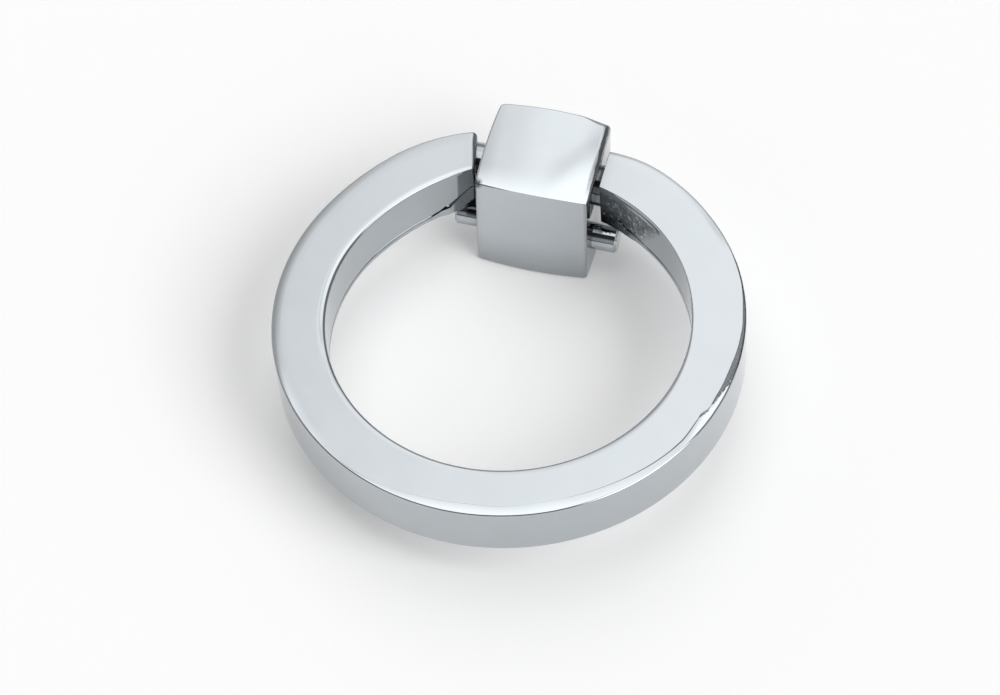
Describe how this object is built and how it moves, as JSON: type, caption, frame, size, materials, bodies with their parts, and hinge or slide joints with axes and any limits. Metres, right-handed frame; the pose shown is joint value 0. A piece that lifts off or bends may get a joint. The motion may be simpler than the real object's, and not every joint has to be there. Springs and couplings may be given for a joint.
{
  "type": "drawer ring pull",
  "caption": "Chrome ring pull: a pillowed square post with a screw hole in its base and a flat C-shaped ring that swings out on it and rests on a cross rod.",
  "frame": {"origin": "centre of the post's mounting face, on the axis of the screw hole", "axes": "+Z out of the drawer front along the screw hole, +X along the ring's pivot, -Y towards the ring's hanging side, which points down on a drawer"},
  "size_m": [0.0764, 0.079, 0.0212],
  "materials": {
    "polished_chrome": "polished chrome plate on cast metal",
    "rod_chrome": "polished chrome plate on turned rod"
  },
  "bodies": {
    "base": {"post": "polished_chrome", "stop_rod": "rod_chrome"},
    "swing": {"ring": "polished_chrome"}
  },
  "joints": [
    {"name": "ring_swing", "type": "hinge", "parent": "base", "child": "swing", "pos_m": [0, 0.0005, 0.01373], "axis": [-1, 0, 0], "range_deg": [0, 188]}
  ]
}
